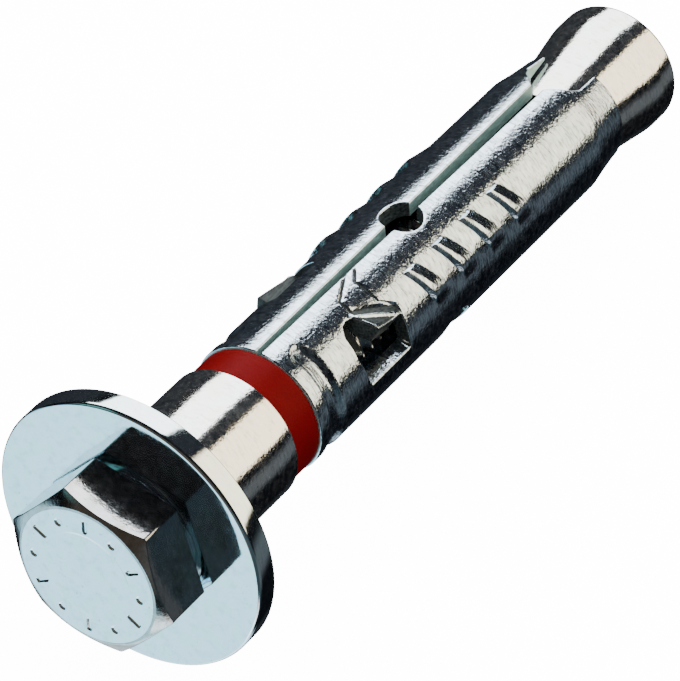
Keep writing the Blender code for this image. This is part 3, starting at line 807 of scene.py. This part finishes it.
def distance_to_path(s, a, path):
    """The shortest distance from each place to a path of straight pieces."""
    best = np.full(np.shape(s), 1e9)
    for (s0, a0), (s1, a1) in zip(path, path[1:]):
        ds = s1 - s0
        da = a1 - a0
        t = np.clip(((s - s0) * ds + (a - a0) * da) / (ds * ds + da * da), 0.0, 1.0)
        best = np.minimum(best, np.hypot(s - s0 - t * ds, a - a0 - t * da))
    return best


def crease_paths(index):
    turn = STAMPING_DEG * index
    return [[(station, arc_mm(turn + degrees)) for station, degrees in line] for line in CREASES]


def crease_depth(s, a):
    depth = np.zeros(np.shape(s))
    for index in range(STAMPINGS):
        for path in crease_paths(index):
            d = distance_to_path(s, a, path)
            depth = np.maximum(depth, CREASE_DEPTH * (1.0 - smooth(d / CREASE_HALF_WIDTH)))
    return depth


def barb_shoulder(s, a):
    """The sheet between the creases and each barb's bend, drawn up a little with it."""
    lift = np.zeros(np.shape(s))
    for index in range(STAMPINGS):
        _, _, _, length, t, d = from_barb_line(s, a, index)
        share = smooth((t + 0.4) / 0.8) * smooth((length + 0.2 - t) / 0.8)
        ridge = BARB_RIDGE * np.exp(-((d / BARB_RIDGE_HALF) ** 2))
        raised = np.interp(d, *zip(*BARB_SHOULDER)) + ridge
        lift += raised * share * ((d > -2.0) & (d < BARB_ROOM))
    return lift


def painted_shade_places(s, a):
    """Which places of the sheet get painted shade, dark and dull: beside each barb's bend, and in the creases
    near it.
    """
    dull = np.zeros(np.shape(s), bool)
    for index in range(STAMPINGS):
        near, _, _, length, t, d = from_barb_line(s, a, index)
        for low, high in PAINTED_SHADE_STRIPS:
            dull |= (d > low) & (d < high) & (t > PAINTED_SHADE_AFTER) & (t < length - PAINTED_SHADE_BEFORE)
        for path in crease_paths(index):
            dull |= (distance_to_path(s, a, path) < CREASE_PAINTED_SHADE_HALF) & (a < near[1])
    return dull


def outer_radius(s, a):
    """The radius of the sleeve's outside, with all that is pressed into the sheet but the barbs' bends."""
    t = np.maximum(0.0, s - (SLEEVE_LENGTH - NECK_LENGTH)) / NECK_LENGTH
    neck = SLEEVE_R - NECK_DRAW * t * (1.35 - 0.35 * t)
    half = STAMPING_DEG / 2
    from_flat = (np.degrees(a / SLEEVE_R) - ROLL_FLAT_AT + half) % STAMPING_DEG - half
    neck = neck - ROLL_FLAT * np.exp(-((from_flat / ROLL_FLAT_HALF_DEG) ** 2))
    return neck + tooth_height(s, a) - groove_depth(s, a) - crease_depth(s, a) + barb_shoulder(s, a)


def bent(places, depth):
    """World points at a depth under places of the flat sheet, once it is bent at the barbs and rolled up."""
    s = places[:, 0]
    a = places[:, 1]
    radius = outer_radius(s, a) - depth
    full = math.radians(BARB_BEND_DEG)
    scale = BARB_BEND_LENGTH / full
    for index in range(STAMPINGS):
        near, along, out, length, t, d = from_barb_line(s, a, index)
        tip_t = BARB_TIP_AT * length
        # the barb is a triangle, so its depth from the line tells how far along it a point may lie
        after = t > tip_t * d / BARB_ROOM - BARB_SIDE_ROOM
        before = t < length - (length - tip_t) * d / BARB_ROOM + BARB_SIDE_ROOM
        on_barb = (d > 0.0) & (d < BARB_ROOM) & after & before
        bend = np.clip(d / BARB_BEND_LENGTH, 0.0, 1.0) * full
        beyond = np.maximum(0.0, d - BARB_BEND_LENGTH)
        forward = scale * np.sin(bend) + beyond * math.cos(full)
        rise = scale * (1.0 - np.cos(bend)) + beyond * math.sin(full)
        new_d = forward + depth * np.sin(bend)
        s = np.where(on_barb, near[0] + along[0] * t + out[0] * new_d, s)
        a = np.where(on_barb, near[1] + along[1] * t + out[1] * new_d, a)
        radius = np.where(on_barb, radius + rise + depth * (1.0 - np.cos(bend)), radius)
    return placed(SLEEVE_START + s, radius, a / SLEEVE_R)


def thickness(places):
    return outer_radius(places[:, 0], places[:, 1]) - bore_radius(places[:, 0])


def grid_points(stations, arcs):
    s, a = np.meshgrid(stations, arcs, indexing="ij")
    return np.stack((s.ravel(), a.ravel()), axis=1)


def inside_loop(points, loop):
    """Which points lie inside a closed loop."""
    inside = np.zeros(len(points), bool)
    for (s0, a0), (s1, a1) in zip(loop, np.roll(loop, -1, axis=0)):
        crosses = (a0 > points[:, 1]) != (a1 > points[:, 1])
        if a0 != a1:
            at = s0 + (points[:, 1] - a0) * (s1 - s0) / (a1 - a0)
            inside ^= crosses & (points[:, 0] < at)
    return inside


def near_loop(points, loop, limit):
    """Which points lie closer to a loop than a limit."""
    close = np.zeros(len(points), bool)
    for (s0, a0), (s1, a1) in zip(loop, np.roll(loop, -1, axis=0)):
        box = (points[:, 0] > min(s0, s1) - limit) & (points[:, 0] < max(s0, s1) + limit)
        box &= (points[:, 1] > min(a0, a1) - limit) & (points[:, 1] < max(a0, a1) + limit)
        index = np.nonzero(box & ~close)[0]
        if len(index):
            d = distance_to_path(points[index, 0], points[index, 1], ((s0, a0), (s1, a1)))
            close[index[d < limit]] = True
    return close


def regions(triangles, fixed):
    """The number of each triangle's region; regions meet only at the fixed edges."""
    beside = {}
    for index, triangle in enumerate(triangles.tolist()):
        for k in range(3):
            edge = tuple(sorted((triangle[k], triangle[k - 1])))
            if edge not in fixed:
                beside.setdefault(edge, []).append(index)
    first, second = np.array([pair for pair in beside.values() if len(pair) == 2]).T
    region = np.arange(len(triangles))
    while True:
        lower = region.copy()
        np.minimum.at(lower, first, region[second])
        np.minimum.at(lower, second, region[first])
        lower = lower[lower]
        if np.array_equal(lower, region):
            return np.unique(region, return_inverse=True)[1]
        region = lower


def in_sheet(points, loops):
    """Which points lie inside the first loop and outside the others."""
    inside = inside_loop(points, loops[0])
    for hole in loops[1:]:
        inside &= ~inside_loop(points, hole)
    return inside


def fill_region(loops, points):
    """Triangles between the first loop and the holes in it, through loose points: (points, triangles)."""
    keep = in_sheet(points, loops)
    for loop in loops:
        keep &= ~near_loop(points, loop, 0.1)
    verts = [*loops, points[keep]]
    edges = []
    start = 0
    for loop in loops:
        n = len(loop)
        edges += [(start + k, start + (k + 1) % n) for k in range(n)]
        start += n
    flat = np.concatenate(verts)
    result = delaunay_2d_cdt([Vector(v) for v in flat], edges, [], 0, 1e-5, True)
    out_points = np.array([tuple(v) for v in result[0]])
    triangles = np.array(result[2])
    fixed = {tuple(sorted(edge)) for edge, sources in zip(result[1], result[4]) if sources}
    region = regions(triangles, fixed)
    # the largest triangle of a region says whether the region is sheet
    first, second, third = (out_points[triangles[:, k]] for k in range(3))
    ab = second - first
    ac = third - first
    area = np.abs(ab[:, 0] * ac[:, 1] - ab[:, 1] * ac[:, 0])
    largest = np.array([np.argmax(np.where(region == k, area, -1.0)) for k in range(region.max() + 1)])
    middle = (first + second + third)[largest] / 3
    return out_points, triangles[in_sheet(middle, loops)[region]]


def outer_points():
    """Loose points on the outside: an even grid, with closer lines along the teeth, grooves and creases."""
    girth = TAU * SLEEVE_R
    even = grid_points(np.arange(0.2, SLEEVE_LENGTH, OUTER_STEP), np.arange(0.1, girth, OUTER_STEP))
    along, across = row_place(even[:, 0], even[:, 1])
    row_length = (TEETH_IN_ROW - 1) * TOOTH_PITCH + TOOTH_LENGTH
    in_teeth = (along > -0.4) & (along < row_length + 0.4) & (np.abs(across) < ROW_HALF_DEG + 2.5)
    in_groove = (even[:, 0] > GROOVE_START - 0.3) & (even[:, 0] < GROOVE_START + GROOVE_LENGTH + 0.3)
    groups = [even[~in_teeth & ~in_groove]]
    ends = [ROW_HALF_DEG - 1.8, ROW_HALF_DEG - 0.9, ROW_HALF_DEG, ROW_HALF_DEG + 2.0]
    inner = np.arange(-ROW_HALF_DEG + 3.2, ROW_HALF_DEG - 3.0, 1.9)
    degrees = np.array([-q for q in ends[::-1]] + list(inner) + ends)
    for row in range(STAMPINGS):
        for k in range(TEETH_IN_ROW):
            for u in TOOTH_MESH_LINES:
                station = ROW_START + k * TOOTH_PITCH + u + TOOTH_LEAD * degrees / 360.0
                arc = arc_mm(1.0) * (STAMPING_DEG * row + ROW_CENTRE_DEG + degrees)
                groups.append(np.stack((station, arc), axis=1))
    shares = np.array([-0.06] + [share for share, _ in GROOVE_PROFILE] + list(GROOVE_MESH_EXTRA))
    groups.append(grid_points(GROOVE_START + GROOVE_LENGTH * shares, np.arange(0.15, girth, 0.22)))
    for index in range(STAMPINGS):
        for path in crease_paths(index):
            base = rounded_path([(*place, 0.0) for place in path], closed=False, step=0.14)
            heading = np.gradient(base, axis=0)
            heading /= np.linalg.norm(heading, axis=1)[:, None]
            side = np.stack((-heading[:, 1], heading[:, 0]), axis=1)
            groups += [base + side * w for w in CREASE_MESH_LINES]
        near, far, along_line, out = barb_line(STAMPING_DEG * index)
        t = np.arange(-0.5, np.linalg.norm(far - near) + 0.6, 0.2)[:, None]
        groups += [near + t * along_line + d * out for d in BARB_MESH_LINES]
    return thinned(np.concatenate(groups[::-1]))


def thinned(points, limit=0.035):
    """Drops points that fall on an earlier one."""
    cells = np.round(points / limit).astype(int)
    _, first = np.unique(cells, axis=0, return_index=True)
    return points[np.sort(first)]


def sheet_loops():
    """The edges of the sheet, of its windows and of the two whole holes, with the sheet on their left."""
    loops = [rounded_path(sheet_outline())]
    loops += [rounded_path(window_outline(STAMPING_DEG * index)) for index in range(STAMPINGS)]
    turns = np.linspace(0.0, TAU, 40, endpoint=False)
    for index in range(1, STAMPINGS):
        centre = arc_mm(STAMPING_DEG * index)
        hole = (HOLE_STATION + HOLE_R * np.cos(turns), centre + HOLE_R * np.sin(turns))
        loops.append(np.stack(hole, axis=1))
    for i, loop in enumerate(loops):
        following = np.roll(loop, -1, axis=0)
        area = np.sum(loop[:, 0] * following[:, 1] - following[:, 0] * loop[:, 1])
        if (area > 0) != (i == 0):
            loops[i] = loop[::-1]
    return loops


def wall_rows(loop, low_loop):
    """Rows of points down the wall of a cut, from the outside over the round edges to the bore."""
    thick = thickness(loop)
    edge = np.minimum(EDGE_ROUND, 0.45 * thick)
    low = np.minimum(INNER_EDGE, 0.3 * thick)
    rows = []
    for share in np.linspace(0.0, 1.0, EDGE_ROWS):
        angle = share * math.pi / 2
        ring = inset(loop, EDGE_ROUND * (1.0 - math.sin(angle)))
        rows.append(bent(ring, edge * (1.0 - math.cos(angle))))
    for share in WALL_SHARES:
        wall = loop + (low_loop - loop) * share
        rows.append(bent(wall, edge + (thick - edge - low) * share))
    ring = inset(low_loop, INNER_EDGE)
    rows.append(bent(ring, thickness(ring)))
    return rows


def expansion_sleeve():
    loops = sheet_loops()
    windows = [None, *range(STAMPINGS)] + [None] * (STAMPINGS - 1)
    lower = [leaning(loop, window) for loop, window in zip(loops, windows)]

    edges = [inset(loop, EDGE_ROUND) for loop in loops]
    outside, triangles = fill_region(edges, outer_points())
    points = [bent(outside, 0.0)]
    faces = triangles.tolist()
    middle = outside[triangles].mean(axis=1)
    # painted shade on the faces beside each barb's bend and in the creases near it
    painted_shade_faces = np.nonzero(painted_shade_places(middle[:, 0], middle[:, 1]))[0].tolist()

    edges = [inset(loop, INNER_EDGE) for loop in lower]
    loose = grid_points(np.arange(0.3, SLEEVE_LENGTH, INNER_STEP), np.arange(0.2, TAU * SLEEVE_R, INNER_STEP))
    inside, triangles = fill_region(edges, loose)
    points.append(bent(inside, thickness(inside)))
    faces += (triangles[:, ::-1] + len(outside)).tolist()

    cut_faces = []
    start = len(outside) + len(inside)
    for loop, low_loop, window in zip(loops, lower, windows):
        rows = wall_rows(loop, low_loop)
        # the window's leaning wall keeps the plate of the faces; its other walls and the holes' walls get
        # painted shade, near-black for the shadow inside them
        moved = loop[:, 1] - low_loop[:, 1] > LOWER_WALL_LEAN / 2
        clean = moved & np.roll(moved, -1)
        in_hole = np.abs(loop[:, 0] - HOLE_STATION) < HOLE_R - 0.02
        painted_shade_walls = in_hole if window is None else ~clean
        cut = ~(painted_shade_walls | clean)
        for row in range(FIRST_WALL_ROW, len(rows) - 1):
            walls = len(faces) + row * len(loop)
            painted_shade_faces += (walls + np.nonzero(painted_shade_walls)[0]).tolist()
            cut_faces += (walls + np.nonzero(cut)[0]).tolist()
        faces += grid_faces(len(rows), len(loop), start=start)
        points += rows
        start += len(rows) * len(loop)
    parts = ((zinc_cut, cut_faces), (zinc_painted_shade, painted_shade_faces))
    piece_from("expansion_sleeve", np.concatenate(points), faces, zinc_bright, 35.0, parts)


# hexagon head bolt
ACROSS_FLATS = 13.0
HEAD_TOP = -5.3
HEX_BASE = -0.5
HEAD_FACE_R = 6.15
HEAD_CHAMFER_DEG = 30.0
HEX_TURN_DEG = 12.0
CORNER_SHARPNESS = 130.0  # the higher, the smaller the round on the hexagon's corners
COLLAR_R = 6.22
FACE_DISH_R = 3.95  # the middle of the head's top is a shallow dish
FACE_DISH = 0.08
MARKS = 12  # plain stamped marks round it, a bar and a dimple in turn
MARK_CENTRE_R = 4.85
MARK_DEPTH = 0.16
SHANK_R = 3.95
THREAD_ROOT_R = 3.3
THREAD_PITCH = 1.25
THREAD_START = 20.0
SHANK_END = 71.6
SHANK_TIP_CHAMFER = 0.7
SHANK_TIP_SLOPE = 1.1
SHANK_TIP_R = SHANK_R - SHANK_TIP_CHAMFER * SHANK_TIP_SLOPE
HEAD_RINGS = (0.0, 1.0, 2.0, 3.0, *np.arange(3.7, 5.75, 0.075), 5.85, 6.02)  # radii of the top's mesh
FACE_EDGE = ((6.1, 0.006), (6.2, 0.035))  # radius and depth where the top turns into the chamfer
CHAMFER_FROM_R = 6.27
HEAD_COLUMNS = 480
THREAD_COLUMNS = 96
THREAD_FORM = (  # one turn: share of the pitch, and share of the way from root to crest
    (0.0, 1.0), (0.11, 1.0), (0.15, 0.93), (0.44, 0.06), (0.49, 0.0), (0.66, 0.0), (0.71, 0.06),
    (0.96, 0.93),
)


def hex_radius(angle):
    """Distance from the axis to the hexagon's side, with its corners a little rounded."""
    total = 0.0
    for k in range(6):
        toward = np.cos(angle - math.radians(HEX_TURN_DEG + 60.0 * k))
        total = total + np.maximum(toward, 0.0) ** CORNER_SHARPNESS
    return ACROSS_FLATS / 2 * total ** (-1.0 / CORNER_SHARPNESS)


def mark_depth(radius, angle):
    """Depth of the stamped bars and dimples, and of the dish, at a place on the head's top."""
    turn = TAU / MARKS
    nearest = np.round(angle / turn)
    across = (angle - nearest * turn) * MARK_CENTRE_R
    along = radius - MARK_CENTRE_R
    bar = smooth((0.24 - np.abs(across)) / 0.16) * smooth((0.68 - np.abs(along)) / 0.16)
    reach = np.hypot(across, along)
    dimple = smooth((0.46 - reach) / 0.3)
    stamped = MARK_DEPTH * np.where(nearest % 2 == 0, bar, dimple)
    dish = FACE_DISH * smooth((FACE_DISH_R + 0.15 - radius) / 0.35)
    return stamped + dish


def bolt_head_and_shank():
    """Rings of points from the middle of the top to where the thread starts, and the rougher faces."""
    angles = np.linspace(0.0, TAU, HEAD_COLUMNS, endpoint=False)
    side = hex_radius(angles)
    slope = math.tan(math.radians(HEAD_CHAMFER_DEG))

    def chamfer_x(radius):
        return HEAD_TOP + (radius - HEAD_FACE_R) * slope

    full = np.ones(HEAD_COLUMNS)
    rows = [(HEAD_TOP * full + mark_depth(r, angles), r * full) for r in HEAD_RINGS]
    first_rough = len(rows)
    rows += [(HEAD_TOP * full + depth, r * full) for r, depth in FACE_EDGE]
    for share in (0.0, 0.5, 1.0):
        radius = CHAMFER_FROM_R + (side - 0.07 - CHAMFER_FROM_R) * share
        rows.append((chamfer_x(radius), radius))
    corner_x = chamfer_x(side)
    rows += [(corner_x - 0.008, side - 0.03), (corner_x + 0.025, side - 0.006), (corner_x + 0.08, side)]
    for share in (0.1, 0.3, 0.5, 0.7, 0.9):
        rows.append((corner_x + (HEX_BASE - corner_x) * share, side))
    base = HEX_BASE * full
    rows += [(base - 0.06, side), (base - 0.01, side - 0.04), (base, side - 0.12)]
    last_rough = len(rows)
    collar = [(HEX_BASE, COLLAR_R + 0.1), (HEX_BASE + 0.1, COLLAR_R)]
    collar += [(-0.05, COLLAR_R), (-0.02, COLLAR_R - 0.05)]
    rows += [(x * full, radius * full) for x, radius in collar]
    rows += [(x * full, SHANK_R * full) for x in (-0.02, 5.0, 12.0, THREAD_START - 0.1)]
    x = np.array([row[0] for row in rows])
    radius = np.array([row[1] for row in rows])
    rough = list(range((first_rough - 1) * HEAD_COLUMNS, (last_rough - 1) * HEAD_COLUMNS))
    rough += range((len(rows) - 4) * HEAD_COLUMNS, (len(rows) - 1) * HEAD_COLUMNS)
    return placed(x, radius, angles[None, :]).reshape(-1, 3), grid_faces(len(rows), HEAD_COLUMNS), rough


def bolt_thread():
    """The thread as a strip that winds along the shank, so that its crests follow the helix."""
    turns = int((SHANK_END - THREAD_START) / THREAD_PITCH) + 2
    phase = np.array([k + share for k in range(-1, turns) for share, _ in THREAD_FORM])
    height = np.array([h for _ in range(-1, turns) for _, h in THREAD_FORM])
    angles = np.linspace(0.0, TAU, THREAD_COLUMNS + 1)
    x = THREAD_START + THREAD_PITCH * (phase[:, None] + angles[None, :] / TAU)
    radius = THREAD_ROOT_R + (SHANK_R - THREAD_ROOT_R) * np.broadcast_to(height[:, None], x.shape)
    runout = smooth((x - THREAD_START) / (2 * THREAD_PITCH))
    radius = SHANK_R - (SHANK_R - radius) * runout
    tip = SHANK_R - np.maximum(0.0, x - (SHANK_END - SHANK_TIP_CHAMFER)) * SHANK_TIP_SLOPE
    radius = np.minimum(radius, np.maximum(tip, 2.0))
    radius = np.where(x >= SHANK_END, SHANK_TIP_R, radius)
    x = np.clip(x, THREAD_START, SHANK_END)
    points = placed(x, radius, angles[None, :]).reshape(-1, 3)
    faces = grid_faces(len(phase), THREAD_COLUMNS + 1, closed_columns=False)
    cap_x = np.array((SHANK_END, SHANK_END, SHANK_END - 0.02))[:, None]
    cap_r = np.array((SHANK_TIP_R, SHANK_TIP_R * 0.6, 0.0))[:, None]
    cap = placed(cap_x, cap_r, angles[None, :-1]).reshape(-1, 3)
    faces += grid_faces(3, THREAD_COLUMNS, start=len(points))
    return np.concatenate((points, cap)), faces


def hex_bolt():
    head, head_faces, rough = bolt_head_and_shank()
    thread, thread_faces = bolt_thread()
    faces = head_faces + [tuple(i + len(head) for i in face) for face in thread_faces]
    # the shank's last ring is joined to the thread's first row, which has fewer points
    share = HEAD_COLUMNS // THREAD_COLUMNS
    ring = len(head) - HEAD_COLUMNS
    for k in range(THREAD_COLUMNS):
        shank_side = [ring + (k * share + n) % HEAD_COLUMNS for n in range(share + 1)]
        faces.append((*shank_side, len(head) + k + 1, len(head) + k))
    rough += range(len(head_faces), len(faces))
    points = np.concatenate((head, thread))
    piece_from("hex_bolt", points, faces, zinc_blue, 30.0, ((zinc_forged, rough),))


hex_bolt()
washer()
expansion_sleeve()
tube_piece(
    "distance_sleeve", SPACER_START - SEAT_FILL, SPACER_END + SEAT_FILL / 2, SPACER_R, SPACER_EDGE_ROUND,
    zinc_warm,
)
tube_piece(
    "compression_ring", RING_START - SEAT_FILL / 2, RING_END + SEAT_FILL, RING_R, RING_EDGE_ROUND,
    plastic_red,
)
cone_nut()
